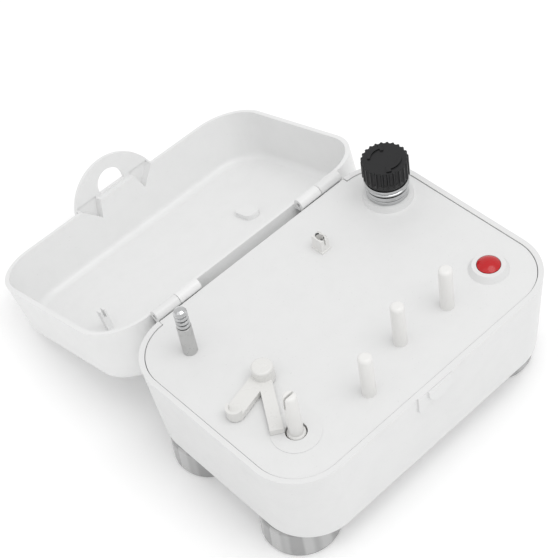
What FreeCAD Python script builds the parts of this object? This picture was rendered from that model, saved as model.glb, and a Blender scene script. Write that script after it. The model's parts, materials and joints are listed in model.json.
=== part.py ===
"""A portable electric bobbin winder in a lidded case, as an assembly of separate parts.

Frame: millimetres, +Z up, the table at Z = 0.  X runs along the case, +Y points from the case to
the opened lid, and the origin lies under the middle of the open winder, just behind its hinge line.
The sizes are measured from the middle of the case; open_shift moves the finished parts to the frame.
The rest pose has the lid folded right back.
"""
import FreeCAD, Part
import math
import os
import re
import Sketcher

doc = FreeCAD.newDocument("BobbinWinder")
sheet = doc.addObject("Spreadsheet::Sheet", "Sizes")

# Driving dimensions.  Every part below is bound to these cells.
SIZES = [
    # the case
    ("case_length", 145.0),
    ("case_width", 101.0),
    ("corner_radius", 21.7),
    ("rim_height", 56.0),
    ("case_base", 14.2),
    ("case_taper", 2.6),
    ("case_edge", 2.5),
    ("case_wall", 2.2),
    ("floor_thick", 2.4),
    # the lid
    ("lid_depth", 26.5),
    ("lid_wall", 2.0),
    ("lid_taper", 2.8),
    ("lid_edge", 4.6),
    ("lid_fold", 197.8),
    ("open_shift", 54.36),
    # the hinge
    ("hinge_out", 3.0),
    ("knuckle_radius", 2.6),
    ("knuckle_inner", 27.8),
    ("knuckle_split", 38.8),
    ("knuckle_outer", 50.4),
    ("pin_radius", 1.0),
    ("run_gap", 0.05),
    # the latch
    ("tab_gap", 1.7),
    ("tab_thick", 2.0),
    ("tab_drop", 14.6),
    ("tab_radius", 23.1),
    ("hole_radius", 7.1),
    ("hole_drop", 2.0),
    ("pad_width", 22.4),
    ("pad_drop", 8.5),
    # the deck
    ("deck_drop", 1.5),
    ("deck_thick", 2.4),
    ("deck_gap", 0.3),
    ("deck_rise", 1.1),
    ("tongue_half", 50.6),
    # the feet
    ("foot_x", 55.5),
    ("foot_y", 26.4),
    ("foot_radius", 16.1),
    ("stem_radius", 4.0),
    # the case screws
    ("screw_x", 60.8),
    ("screw_y", 38.8),
    ("boss_radius", 3.5),
    ("shank_radius", 1.45),
    # the winding spindle and its gears
    ("spindle_x", -50.45),
    ("spindle_y", -27.6),
    ("spindle_hole", 4.2),
    ("spindle_top", 76.5),
    ("shaft_radius", 1.5),
    ("bush_radius", 3.0),
    ("gear_module", 0.6),
    ("gear_teeth", 36),
    ("pinion_teeth", 12),
    ("gear_base", 43.0),
    ("gear_face", 3.4),
    ("drive_angle", 20.0),
    ("plate_base", 39.8),
    ("plate_thick", 2.2),
    ("can_radius", 10.0),
    ("can_flat", 7.5),
    ("can_height", 20.0),
    # the stop lever
    ("lever_x", -41.85),
    ("lever_y", -1.1),
    ("lever_radius", 4.3),
    ("stub_radius", 2.4),
    ("arm_low", 54.9),
    ("arm_high", 57.6),
    ("boss_top", 62.3),
    ("sensor_length", 26.6),
    ("sensor_width", 5.2),
    ("sensor_angle", 122.0),
    ("thumb_length", 19.0),
    ("thumb_width", 7.0),
    ("thumb_angle", 166.0),
    # the spool pin
    ("spool_x", -51.65),
    ("spool_y", 30.3),
    ("spool_radius", 2.95),
    ("socket_radius", 2.7),
    ("ring_radius", 2.7),
    ("spool_top", 78.9),
    # the bobbin pegs
    ("peg_radius", 2.75),
    ("peg_top", 75.8),
    # the thread guide
    ("guide_x", 17.75),
    ("guide_y", 29.5),
    ("guide_height", 6.8),
    ("eyelet_length", 4.5),
    ("eyelet_width", 1.9),
    # the tension device
    ("tension_x", 56.1),
    ("tension_y", 29.55),
    ("disc_radius", 9.4),
    ("knob_radius", 9.7),
    ("knob_base", 65.2),
    ("ring_top", 57.0),
    ("knob_top", 75.4),
    # the start button
    ("button_x", 52.45),
    ("button_y", -28.25),
    ("bezel_radius", 8.5),
    ("button_radius", 4.6),
    # the battery bay
    ("bay_x", 9.0),
    ("cell_radius", 7.1),
    ("cell_length", 49.5),
    ("cell_height", 24.4),
    ("cell_spread", 7.6),
]
value = {}
for row, (alias, number) in enumerate(SIZES, start=1):
    sheet.set("A%d" % row, alias)
    sheet.set("B%d" % row, str(number))
    sheet.setAlias("B%d" % row, alias)
    value[alias] = number
doc.recompute()

PARTS = []
AXES = {
    "along": FreeCAD.Vector(1, 0, 0),
    "across": FreeCAD.Vector(0, 1, 0),
    "clockwise": FreeCAD.Vector(0, 0, -1),
    "anticlockwise": FreeCAD.Vector(0, 0, 1),
}


def sized(text):
    """Point the plain size names in a formula at their spreadsheet cells."""
    return re.sub(r"[a-z]+_[a-z]+", lambda found: "Sizes." + found.group(0), str(text))


def bind(thing, **formulas):
    """Bind properties to formulas; a double underscore stands for a dot."""
    for prop, formula in formulas.items():
        thing.setExpression(prop.replace("__", "."), sized(formula))
    return thing


def place(thing, x="0", y="0", z="0"):
    return bind(thing, Placement__Base__x=x, Placement__Base__y=y, Placement__Base__z=z)


def turned_to(thing, axis, angle):
    """Turn a thing about one of the AXES through its own origin, by 0 to 180 degrees."""
    thing.Placement = FreeCAD.Placement(thing.Placement.Base, FreeCAD.Rotation(AXES[axis], 1.0))
    return bind(thing, Placement__Rotation__Angle=angle)


def rod(x, y, z, radius, height, name="Rod"):
    thing = doc.addObject("Part::Cylinder", name)
    bind(thing, Radius=radius, Height=height)
    return place(thing, x, y, z)


def cross_rod(x, y, z, radius, length, name="CrossRod"):
    """A cylinder lying along X from x."""
    thing = doc.addObject("Part::Cylinder", name)
    turned_to(thing, "across", "90")
    bind(thing, Radius=radius, Height=length)
    return place(thing, x, y, z)


def cone(x, y, z, low, high, height, name="Cone"):
    thing = doc.addObject("Part::Cone", name)
    bind(thing, Radius1=low, Radius2=high, Height=height)
    return place(thing, x, y, z)


def ball(x, y, z, radius, name="Ball"):
    thing = doc.addObject("Part::Sphere", name)
    bind(thing, Radius=radius)
    return place(thing, x, y, z)


def block(x, y, z, length, width, height, name="Block"):
    """A box centred on x and y, standing on z."""
    thing = doc.addObject("Part::Box", name)
    bind(thing, Length=length, Width=width, Height=height)
    return place(thing, "%s - (%s)/2" % (x, length), "%s - (%s)/2" % (y, width), z)


def joined(pieces, name="Joined"):
    thing = doc.addObject("Part::MultiFuse", name)
    thing.Shapes = pieces
    thing.Refine = True
    return thing


def drilled(base, tools, name="Drilled"):
    thing = doc.addObject("Part::Cut", name)
    thing.Base = base
    thing.Tool = tools[0] if len(tools) == 1 else joined(tools)
    return thing


def shared(first, second, name="Shared"):
    thing = doc.addObject("Part::Common", name)
    thing.Base = first
    thing.Tool = second
    return thing


def group(pieces, name="Group"):
    """Keep several separate solids together, as one node."""
    thing = doc.addObject("Part::Compound", name)
    thing.Links = pieces
    return thing


# These stay at the case's own level.  Everything else hangs on the deck and rises with it.
CASE_PARTS = ("case_tub", "suction_feet", "case_screws", "lid", "hinge_pins",
              "battery_cells", "battery_contacts", "battery_springs", "battery_door")


def finish(thing, label):
    """Name a finished part, shift it to the shared frame and raise it if the deck carries it."""
    formulas = dict(thing.ExpressionEngine)
    if label not in CASE_PARTS:
        height = formulas.get(".Placement.Base.z", "0")
        thing.setExpression("Placement.Base.z", "%s + Sizes.deck_rise" % height)
    across = formulas.get(".Placement.Base.y", "0")
    thing.setExpression("Placement.Base.y", "%s - Sizes.open_shift" % across)
    thing.Label = label
    PARTS.append(thing)
    return thing


def origin_plane(body, role):
    return [feature for feature in body.Origin.OriginFeatures if feature.Role == role][0]


def new_sketch(body, role="XY_Plane", height=None):
    sketch = body.newObject("Sketcher::SketchObject", "Sketch")
    sketch.AttachmentSupport = [(origin_plane(body, role), "")]
    sketch.MapMode = "FlatFace"
    if height is not None:
        bind(sketch, AttachmentOffset__Base__z=height)
    return sketch


def draw(sketch, corners):
    """Draw a closed outline whose corners are (across, up) formulas."""
    count = len(corners)
    angles = [2 * math.pi * k / count for k in range(count)]
    start = [FreeCAD.Vector(math.cos(angle), math.sin(angle), 0) * 9 for angle in angles]
    for k in range(count):
        sketch.addGeometry(Part.LineSegment(start[k], start[(k + 1) % count]), False)
    for k in range(count):
        sketch.addConstraint(Sketcher.Constraint("Coincident", k, 2, (k + 1) % count, 1))
    for k, (across, up) in enumerate(corners):
        for kind, formula, at in (("DistanceX", across, start[k].x), ("DistanceY", up, start[k].y)):
            number = sketch.addConstraint(Sketcher.Constraint(kind, -1, 1, k, 1, at))
            sketch.setExpression("Constraints[%d]" % number, sized(formula))
    return sketch


def edges_of(feature, test):
    return ["Edge%d" % (k + 1) for k, edge in enumerate(feature.Shape.Edges) if test(edge)]


def rounded(body, feature, test, radius):
    """Round the edges that pass a test, and check that the fillet took."""
    doc.recompute()
    fillet = body.newObject("PartDesign::Fillet", "Fillet")
    fillet.Base = (feature, edges_of(feature, test))
    bind(fillet, Radius=radius)
    body.Tip = fillet
    return fillet


def tray(name, length, width, base, height, taper, corner, edge=None, down=False):
    """A solid rounded box, narrower away from its base; edge rounds its far rim."""
    body = doc.addObject("PartDesign::Body", name)
    sketch = new_sketch(body, "XY_Plane", base)
    half = ["-(%s)/2" % length, "(%s)/2" % length, "-(%s)/2" % width, "(%s)/2" % width]
    draw(sketch, [(half[0], half[2]), (half[1], half[2]), (half[1], half[3]), (half[0], half[3])])
    pad = body.newObject("PartDesign::Pad", "Pad")
    pad.Profile = sketch
    pad.Reversed = down
    bind(pad, Length=height, TaperAngle="-(%s)" % taper)
    corners = rounded(body, pad, lambda e: abs(e.tangentAt(e.FirstParameter).z) > 0.9, corner)
    if edge:
        doc.recompute()
        box = pad.Shape.BoundBox
        far = box.ZMin if down else box.ZMax

        def on_far_rim(e):
            return e.BoundBox.ZLength < 0.01 and abs(e.BoundBox.ZMin - far) < 0.01
        rounded(body, corners, on_far_rim, edge)
    return body


def prism(corners, y, thickness):
    """A prism whose outline lies in the XZ plane, reaching from y towards -Y."""
    body = doc.addObject("PartDesign::Body", "Prism")
    sketch = draw(new_sketch(body, "XZ_Plane"), corners)
    pad = body.newObject("PartDesign::Pad", "Pad")
    pad.Profile = sketch
    bind(pad, Length=thickness)
    return place(body, "0", y)


def stadium(x, y, z, length, width, height):
    """An upright solid with straight sides along Y and round ends."""
    reach = "(%s - %s)/2" % (length, width)
    ends = [rod(x, "%s %s %s" % (y, sign, reach), z, "%s/2" % width, height) for sign in ("-", "+")]
    return joined(ends + [block(x, y, z, width, "%s - %s" % (length, width), height)])


def turned(name, corners, x="0", y="0", soft=()):
    """A solid of revolution about a vertical line; soft lists (radius, height, rounding) edges."""
    body = doc.addObject("PartDesign::Body", name)
    sketch = draw(new_sketch(body, "XZ_Plane"), corners)
    spin = body.newObject("PartDesign::Revolution", "Turned")
    spin.Profile = sketch
    spin.ReferenceAxis = (sketch, ["V_Axis"])
    spin.Angle = 360
    last = spin
    for radius, height, rounding in soft:
        def at_edge(e, r=radius, z=height):
            box = e.BoundBox
            return box.ZLength < 0.01 and abs(box.ZMin - z) < 0.02 and abs(box.XMax - r) < 0.02
        last = rounded(body, last, at_edge, rounding)
    return place(body, x, y)


def spring(name, x, y, base, radius, wire, pitch, height, lying=False):
    """A coil spring standing on its base, or lying along X."""
    body = doc.addObject("PartDesign::Body", name)
    sketch = new_sketch(body, "XZ_Plane")
    sketch.addGeometry(Part.Circle(FreeCAD.Vector(radius, 0, 0), FreeCAD.Vector(0, 0, 1), wire), False)
    coil = body.newObject("PartDesign::AdditiveHelix", "Coil")
    coil.Profile = sketch
    coil.ReferenceAxis = (sketch, ["V_Axis"])
    coil.Mode = 0
    coil.Pitch = pitch
    coil.Height = height
    if lying:
        turned_to(body, "across", "90")
    return place(body, x, y, base)


def screw(x, y, head_base, head_radius, head_height, shank_length, up=True):
    """A cross-headed screw; up means that its shank points up."""
    shank_base = "%s + %s" % (head_base, head_height) if up else "%s - %s" % (head_base, shank_length)
    slot_base = head_base if up else "%s + %s - 0.7" % (head_base, head_height)
    head = rod(x, y, head_base, head_radius, head_height)
    shank = rod(x, y, shank_base, "shank_radius", shank_length)
    cross = [block(x, y, slot_base, "%s*1.2" % head_radius, "0.6", "0.7"),
             block(x, y, slot_base, "0.6", "%s*1.2" % head_radius, "0.7")]
    return drilled(joined([head, shank]), cross)


# ---------------------------------------------------------------- formulas used by several parts
DECK_TOP = "(rim_height - deck_drop)"
DECK_LOW = "(rim_height - deck_drop - deck_thick)"
FLOOR_TOP = "(case_base + floor_thick)"
FRONT = "(-case_width/2)"
HINGE_Y = "(case_width/2 + hinge_out)"
AXIS_GAP = "(gear_module*(gear_teeth + pinion_teeth)/2)"
MOTOR_X = "(spindle_x + %s*cos(drive_angle*1deg))" % AXIS_GAP
MOTOR_Y = "(spindle_y - %s*sin(drive_angle*1deg))" % AXIS_GAP
CORNERS = [(sx, sy) for sx in ("-", "") for sy in ("-", "")]
SIDES = ("-", "")


def knuckle(side, near, far, web_base, web_height):
    """One hinge knuckle on one side of the middle, with the web that carries it."""
    low = "-(%s)" % far if side == "-" else near
    barrel = cross_rod(low, HINGE_Y, "rim_height", "knuckle_radius", "%s - %s" % (far, near))
    middle = "%s(%s + %s)/2" % (side, near, far)
    web = block(middle, "(case_width/2 + hinge_out/2 - 0.5)", web_base, "%s - %s" % (far, near),
                "hinge_out + 1", web_height)
    return [barrel, web]


def hinge_bore():
    return cross_rod("-case_length/2", HINGE_Y, "rim_height", "pin_radius + run_gap", "case_length")


# ---------------------------------------------------------------- the lower case
def case_tub():
    outer = tray("TubOuter", "case_length", "case_width", "rim_height", "rim_height - case_base",
                 "case_taper", "corner_radius", "case_edge", down=True)
    inner = tray("TubInner", "case_length - 2*case_wall", "case_width - 2*case_wall", "rim_height",
                 "rim_height - case_base - floor_thick", "case_taper", "corner_radius - case_wall",
                 "1.2", down=True)
    shell = drilled(outer, [inner])
    # a notch in the rear rim takes the deck's tongue
    notch = block("0", "(case_width/2 - 1.9)", "%s - 1.8 + deck_rise" % DECK_TOP,
                  "2*tongue_half + 0.6", "4", "5")
    added = [drilled(shell, [notch])]
    for side in SIDES:
        added += knuckle(side, "knuckle_split", "knuckle_outer", "rim_height - knuckle_radius - 1.4",
                         "knuckle_radius - 0.6")
    for sx, sy in CORNERS:
        added.append(rod(sx + "screw_x", sy + "screw_y", "%s - 0.5" % FLOOR_TOP, "boss_radius",
                         "20 + deck_rise"))
    # the latch pad and the half-round catch on the front wall
    pad = block("0", "(-case_width/2 + 0.3)", "rim_height - pad_drop", "pad_width", "1.6", "pad_drop")
    catch = drilled(
        turned_to(rod("0", "-case_width/2 + 1", "rim_height - hole_drop", "hole_radius - 0.8", "2.3"),
                  "along", "90"),
        [block("0", FRONT, "rim_height - 0.6", "30", "20", "20")])
    added += [pad, catch]
    # the battery bay with its thickened floor
    added += [block("bay_x - 5", "0", "%s - 0.5" % FLOOR_TOP, "72", "42", "2.5"),
              block("bay_x", "0", "%s - 0.5" % FLOOR_TOP, "cell_length + 11", "34.2", "18.1")]
    cut = [block("bay_x", "0", "case_base - 1", "cell_length + 7.5", "31", "19.2"),
           block("bay_x - 4", "0", "case_base - 1", "67.8", "33", "2.1"),
           block("bay_x - 4", "0", "case_base + 1", "67.8", "36", "1.2")]
    for tab in ("-12", "22"):
        cut.append(block("bay_x + %s - 7" % tab, "0", "case_base - 1", "6.6", "36", "2.5"))
    for sx, sy in CORNERS:
        cut += [rod(sx + "screw_x", sy + "screw_y", "case_base - 1", "1.7", "30"),
                rod(sx + "screw_x", sy + "screw_y", "case_base - 1", "3.1", "17"),
                rod(sx + "foot_x", sy + "foot_y", "case_base - 1", "stem_radius + 0.03", "6")]
    cut.append(hinge_bore())
    return finish(drilled(joined(added), cut), "case_tub")


def suction_feet():
    feet = []
    for sx, sy in CORNERS:
        foot = turned("Foot", [
            ("0", "3"), ("9", "1.2"), ("foot_radius - 1.4", "0"), ("foot_radius - 0.4", "0"),
            ("foot_radius", "1"), ("foot_radius - 0.5", "case_base - 1"),
            ("foot_radius - 1.2", "case_base"), ("stem_radius", "case_base"),
            ("stem_radius", "%s + 0.1" % FLOOR_TOP), ("stem_radius - 0.4", "%s + 1.6" % FLOOR_TOP),
            ("0", "%s + 1.6" % FLOOR_TOP)], sx + "foot_x", sy + "foot_y")
        feet.append(foot)
    return finish(group(feet), "suction_feet")


def case_screws():
    screws = []
    for sx, sy in CORNERS:
        screws.append(screw(sx + "screw_x", sy + "screw_y", "case_base + 13.9", "2.9", "2.1", "16"))
    return finish(group(screws), "case_screws")


# ---------------------------------------------------------------- the lid, drawn shut and then folded back
def lid():
    outer = tray("LidOuter", "case_length", "case_width", "rim_height", "lid_depth", "lid_taper",
                 "corner_radius", "lid_edge")
    inner = tray("LidInner", "case_length - 2*lid_wall", "case_width - 2*lid_wall", "rim_height",
                 "lid_depth - lid_wall", "lid_taper", "corner_radius - lid_wall", "lid_edge - 1")
    # the latch tab: a half disc hanging from a swelling of the front wall
    disc = turned_to(rod("0", "-case_width/2 - tab_gap", "rim_height - tab_drop + tab_radius",
                         "tab_radius", "tab_thick"), "along", "90")
    below = block("0", FRONT, "rim_height - 40", "60", "20", "40 + 4")
    swelling = prism([("-21.5", "rim_height"), ("21.5", "rim_height"), ("14", "rim_height + 10.5"),
                      ("-14", "rim_height + 10.5")], "-case_width/2 + 1.2", "tab_gap + tab_thick + 1.2")
    added = [drilled(outer, [inner]), shared(disc, below), swelling]
    for side in SIDES:
        added += knuckle(side, "knuckle_inner", "knuckle_split - 0.2", "rim_height", "knuckle_radius")
    # a slotted post and a low round-ended mound stand on the lid's inner face
    ceiling = "(rim_height + lid_depth - lid_wall)"
    added += [block("-51.5", "3", "%s - 10" % ceiling, "3", "3", "10.5"),
              stadium("33", "-2", "%s - 2.4" % ceiling, "13", "7.4", "2.9")]
    hole = shared(
        turned_to(rod("0", "-case_width/2 + 5", "rim_height - hole_drop", "hole_radius", "20"),
                  "along", "90"),
        block("0", FRONT, "rim_height - 30", "40", "40", "30 - 0.4"))
    cut = [hole, hinge_bore()]
    # pointed pockets behind the tab, either side of the middle
    for side in SIDES:
        cut.append(prism([(side + "20.4", "rim_height - 1"), (side + "9.9", "rim_height - 1"),
                          (side + "9.9", "rim_height"), (side + "12.6", "rim_height + 8.2"),
                          (side + "20.4", "rim_height")], "-case_width/2 + 3.2", "tab_gap + 4"))
    cut.append(block("0", "(-case_width/2 - tab_gap/2)", "rim_height - 1", "40.8", "tab_gap", "1.4"))
    cut.append(block("-51.5", "3", "%s - 10.5" % ceiling, "1.1", "8", "4"))
    whole = drilled(joined(added), cut)
    # fold it back about the hinge line
    turned_to(whole, "along", "360 - lid_fold")
    turn = "lid_fold*1deg"
    bind(whole,
         Placement__Base__y="%s - (%s*cos(%s) + rim_height*sin(%s))" % (HINGE_Y, HINGE_Y, turn, turn),
         Placement__Base__z="rim_height - (rim_height*cos(%s) - %s*sin(%s))" % (turn, HINGE_Y, turn))
    return finish(whole, "lid")


def hinge_pins():
    pins = []
    for low in ("-(knuckle_outer - 0.6)", "knuckle_inner + 0.6"):
        pins.append(cross_rod(low, HINGE_Y, "rim_height", "pin_radius",
                              "knuckle_outer - knuckle_inner - 1.2"))
    return finish(group(pins), "hinge_pins")


# ---------------------------------------------------------------- the deck
PEGS = (("-20.45", "-35.1"), ("4.05", "-27.4"), ("28.45", "-28.7"))
BRACKET_POSTS = (("-62.5", "-16"), ("-36", "-15.5"), ("-43.6", "-43.2"))


def deck_panel():
    inset = "2*case_wall - 2*deck_gap"
    plate = tray("DeckPlate", "case_length - %s" % inset, "case_width - %s" % inset,
                 DECK_TOP, "deck_thick", "0.01", "corner_radius - case_wall - deck_gap", down=True)
    # a tongue along the rear edge covers the case's wall between the outer hinge knuckles
    tongue = block("0", "(case_width/2 - 1.7)", "%s - 1.6" % DECK_TOP, "2*tongue_half", "3.2", "1.6")
    added = [plate, tongue]
    cut = []
    for sx, sy in CORNERS:
        depth = "rim_height - deck_drop - 1 - (case_base + floor_thick + 19.5)"
        added.append(rod(sx + "screw_x", sy + "screw_y", "%s + 19.5" % FLOOR_TOP, "boss_radius", depth))
        cut.append(rod(sx + "screw_x", sy + "screw_y", "%s + 19" % FLOOR_TOP, "shank_radius + 0.03", "12"))
    # the spindle's raised disc, its hole and the seat of the upper bush
    added += [rod("spindle_x", "spindle_y", "%s - 0.5" % DECK_TOP, "9.6", "0.8"),
              rod("spindle_x", "spindle_y", "47", "6", "6")]
    cut += [rod("spindle_x", "spindle_y", "50", "spindle_hole", "8"),
            rod("spindle_x", "spindle_y", "40", "bush_radius + 0.02", "12")]
    for x, y in BRACKET_POSTS:
        added.append(rod(x, y, "44.6", "3.2", "8"))
        cut.append(rod(x, y, "44", "shank_radius + 0.03", "8.2"))
    # the lever's tube, the spool pin's socket and the tension post's seat
    added += [rod("lever_x", "lever_y", "50.6", "4.6", "2"),
              rod("spool_x", "spool_y", "42", "5", "11"),
              cone("tension_x", "tension_y", "%s - 0.5" % DECK_TOP, "10.8", "10.3",
                   "ring_top - %s + 0.5" % DECK_TOP),
              cone("button_x", "button_y", "%s - 0.5" % DECK_TOP, "bezel_radius",
                   "bezel_radius - 1.9", "3.1")]
    cut += [rod("lever_x", "lever_y", "40", "stub_radius + run_gap", "20"),
            rod("spool_x", "spool_y", "44", "socket_radius + 0.02", "20"),
            rod("spool_x", "spool_y", "40", "2.3", "10"),
            rod("tension_x", "tension_y", "40", "2", "20"),
            rod("button_x", "button_y", "40", "button_radius + 0.25", "20")]
    # two ribs carry the start switch, two pads the stop switch
    for side in SIDES:
        added.append(block("button_x", "button_y %s 5" % (side or "+"), "34", "8", "1.6", "18.6"))
    added.append(block("lever_x + 13.2", "lever_y - 7", "49.6", "13", "6", "3"))
    for x, y in PEGS:
        cut.append(rod(x, y, "40", "1.82", "20"))
    for dy in ("- 1.7", "+ 1.7"):
        cut.append(rod("guide_x", "guide_y %s" % dy, "40", "0.92", "20"))
    return finish(drilled(joined(added), cut), "deck_panel")


def bobbin_pegs():
    pegs = []
    for x, y in PEGS:
        pegs.append(turned("Peg", [
            ("0", "50.8"), ("1.8", "50.8"), ("1.8", DECK_TOP), ("peg_radius", DECK_TOP),
            ("peg_radius", "peg_top"), ("0", "peg_top")], x, y,
            [(value["peg_radius"], value["peg_top"], "1.4")]))
    return finish(group(pegs), "bobbin_pegs")


def thread_guide():
    """A block with a slot along Y through it; its mouth wears a steel eyelet."""
    top = "(%s + guide_height)" % DECK_TOP
    body = [block("guide_x", "guide_y", DECK_TOP, "4.8", "6.3", "0.9"),
            block("guide_x", "guide_y", DECK_TOP, "4", "5.5", "guide_height")]
    for dy in ("- 1.7", "+ 1.7"):
        body.append(rod("guide_x", "guide_y %s" % dy, DECK_LOW, "0.9", "deck_thick + 0.5"))
    slot = stadium("guide_x", "guide_y", "%s - 3.4" % top, "eyelet_length - 1", "eyelet_width - 1", "6")
    mouth = block("guide_x", "(guide_y - 2.6)", "%s - 3.4" % top, "0.7", "4", "6")
    seat = stadium("guide_x", "guide_y", "%s - 0.3" % top, "eyelet_length + 0.04", "eyelet_width + 0.04", "2")
    finish(drilled(joined(body), [slot, mouth, seat]), "thread_guide")
    ring = stadium("guide_x", "guide_y", "%s - 0.3" % top, "eyelet_length", "eyelet_width", "0.6")
    inside = stadium("guide_x", "guide_y", "%s - 2" % top, "eyelet_length - 1", "eyelet_width - 1", "6")
    gap = block("guide_x", "(guide_y - 2.6)", "%s - 2" % top, "0.7", "3", "6")
    finish(drilled(ring, [inside, gap]), "guide_eyelet")


# ---------------------------------------------------------------- the spindle and its drive
def winding_spindle():
    peg = turned("Spindle", [
        ("0", "50.9"), ("3.6", "50.9"), ("3.6", "54.2"), ("peg_radius + 0.1", "55"),
        ("peg_radius + 0.1", "71"), ("2.5", "spindle_top"), ("0", "spindle_top")],
        "spindle_x", "spindle_y", [(2.5, value["spindle_top"], "1.1")])
    slot = block("spindle_x", "spindle_y", "spindle_top - 6", "10", "0.9", "8")
    bore = rod("spindle_x", "spindle_y", "50", "shaft_radius + 0.02", "16.2")
    return finish(drilled(peg, [slot, bore]), "winding_spindle")


def spindle_shaft():
    return finish(turned("Shaft", [
        ("0", "34.4"), ("shaft_radius - 0.3", "34.4"), ("shaft_radius", "34.8"), ("shaft_radius", "66"),
        ("0", "66")], "spindle_x", "spindle_y"), "spindle_shaft")


def bush(label, base, height, flange_base):
    sleeve = joined([rod("spindle_x", "spindle_y", base, "bush_radius", height),
                     rod("spindle_x", "spindle_y", flange_base, "bush_radius + 1", "0.6")])
    bore = rod("spindle_x", "spindle_y", "%s - 2" % base, "shaft_radius + 0.03", "%s + 4" % height)
    return finish(drilled(sleeve, [bore]), label)


def gear_shape(teeth, thickness, bore):
    """An involute spur gear about Z, with a little backlash cut from each tooth."""
    module = sheet.gear_module
    pitch = module * teeth / 2
    base = pitch * math.cos(math.radians(20))
    outer = pitch + module
    root = pitch - 1.25 * module
    half_tooth = (math.pi / 2 - 0.16) / teeth
    at_pitch = math.tan(math.radians(20)) - math.radians(20)
    corners = []
    for tooth in range(teeth):
        middle = 2 * math.pi * tooth / teeth
        flank = [(root, half_tooth + at_pitch)]
        for step in range(5):
            radius = max(base, root) + (outer - max(base, root)) * step / 4
            roll = math.acos(base / radius)
            flank.append((radius, half_tooth + at_pitch - (math.tan(roll) - roll)))
        corners += [(radius, middle - angle) for radius, angle in flank]
        corners += [(radius, middle + angle) for radius, angle in reversed(flank)]
    points = []
    for radius, angle in corners:
        points.append(FreeCAD.Vector(radius * math.cos(angle), radius * math.sin(angle), 0))
    face = Part.Face(Part.makePolygon(points + points[:1]))
    solid = face.extrude(FreeCAD.Vector(0, 0, thickness))
    return solid.cut(Part.makeCylinder(bore, thickness * 3, FreeCAD.Vector(0, 0, -thickness)))


def toothed(label, teeth, bore, thickness, x, y, z, turn=0.0):
    thing = doc.addObject("Part::Feature", label)
    thing.Shape = gear_shape(int(teeth), thickness, bore)
    thing.Placement = FreeCAD.Placement(FreeCAD.Vector(), FreeCAD.Rotation(FreeCAD.Vector(0, 0, 1), turn))
    return finish(place(thing, x, y, z), label)


def gears():
    toothed("spindle_gear", sheet.gear_teeth, sheet.shaft_radius + 0.02, sheet.gear_face,
            "spindle_x", "spindle_y", "gear_base", -sheet.drive_angle)
    toothed("motor_pinion", sheet.pinion_teeth, 1.02, sheet.gear_face + 0.6,
            MOTOR_X, MOTOR_Y, "gear_base - 0.3", 180 - sheet.drive_angle + 180 / sheet.pinion_teeth)


def gear_bracket():
    body = doc.addObject("PartDesign::Body", "BracketPlate")
    outline = [("-66.4", "-12"), ("-66.4", "-26"), ("-54.5", "-38"), ("-50", "-46.9"),
               ("-24.5", "-45"), ("-25", "-12")]
    sketch = draw(new_sketch(body, "XY_Plane", "plate_base"), outline)
    pad = body.newObject("PartDesign::Pad", "Plate")
    pad.Profile = sketch
    bind(pad, Length="plate_thick")
    added = [body]
    cut = [rod("spindle_x", "spindle_y", "30", "bush_radius + 0.02", "20"),
           rod(MOTOR_X, MOTOR_Y, "30", "3.1", "20")]
    for x, y in BRACKET_POSTS:
        added.append(rod(x, y, "plate_base + 1", "3.2", "44.6 - plate_base - 1"))
        cut.append(rod(x, y, "30", "shank_radius + 0.1", "20"))
    for side in SIDES:
        x, y = beside_motor(side, "7")
        cut.append(rod(x, y, "30", "1", "20"))
    return finish(drilled(joined(added), cut), "gear_bracket")


def bracket_screws():
    screws = [screw(x, y, "plate_base - 1.5", "2.7", "1.5", "10.5") for x, y in BRACKET_POSTS]
    return finish(group(screws), "bracket_screws")


def beside_motor(side, distance):
    """A point on either side of the motor's axis, along the drive's line."""
    return ("%s %s %s*cos(drive_angle*1deg)" % (MOTOR_X, side or "+", distance),
            "%s %s %s*sin(drive_angle*1deg)" % (MOTOR_Y, "+" if side else "-", distance))


def motor_block(z, length, width, height, shift="0"):
    """A box on the motor's axis, turned with the drive and shifted along its own width."""
    thing = doc.addObject("Part::Box", "MotorBlock")
    bind(thing, Length=length, Width=width, Height=height)
    turned_to(thing, "clockwise", "drive_angle")
    turn = "drive_angle*1deg"
    back = "((%s)/2 - (%s))" % (width, shift)
    return place(thing, "%s - (%s)/2*cos(%s) - %s*sin(%s)" % (MOTOR_X, length, turn, back, turn),
                 "%s + (%s)/2*sin(%s) - %s*cos(%s)" % (MOTOR_Y, length, turn, back, turn), z)


def drive_motor():
    can_base = "(plate_base - can_height)"
    cap_base = "(plate_base - can_height - 1.6)"
    can = shared(rod(MOTOR_X, MOTOR_Y, can_base, "can_radius", "can_height"),
                 motor_block(can_base, "can_radius*2", "can_flat*2", "can_height"))
    collar = rod(MOTOR_X, MOTOR_Y, "plate_base - 0.5", "3", "2")
    holes = [rod(MOTOR_X, MOTOR_Y, "%s - 1" % can_base, "1.05", "can_height + 6")]
    screws = []
    for side in SIDES:
        x, y = beside_motor(side, "7")
        holes.append(rod(x, y, "plate_base - 3", "0.85", "20"))
        screws.append(joined([rod(x, y, "plate_base - 2.4", "0.8", "5"),
                              rod(x, y, "plate_base + plate_thick", "1.4", "0.7")]))
    finish(drilled(joined([can, collar]), holes), "motor_can")
    end = shared(rod(MOTOR_X, MOTOR_Y, cap_base, "can_radius - 1", "1.6"),
                 motor_block(cap_base, "can_radius*2", "can_flat*2 - 2", "1.6"))
    finish(drilled(end, [rod(MOTOR_X, MOTOR_Y, "%s - 1" % cap_base, "1.4", "8")]), "motor_end_cap")
    finish(rod(MOTOR_X, MOTOR_Y, "%s + 0.2" % cap_base, "1", "can_height + 10"), "motor_shaft")
    tabs = [motor_block("%s - 1.4" % cap_base, "2.4", "0.4", "1.4", "%s4.6" % side) for side in SIDES]
    finish(group(tabs), "motor_terminals")
    return finish(group(screws), "motor_screws")


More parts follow.
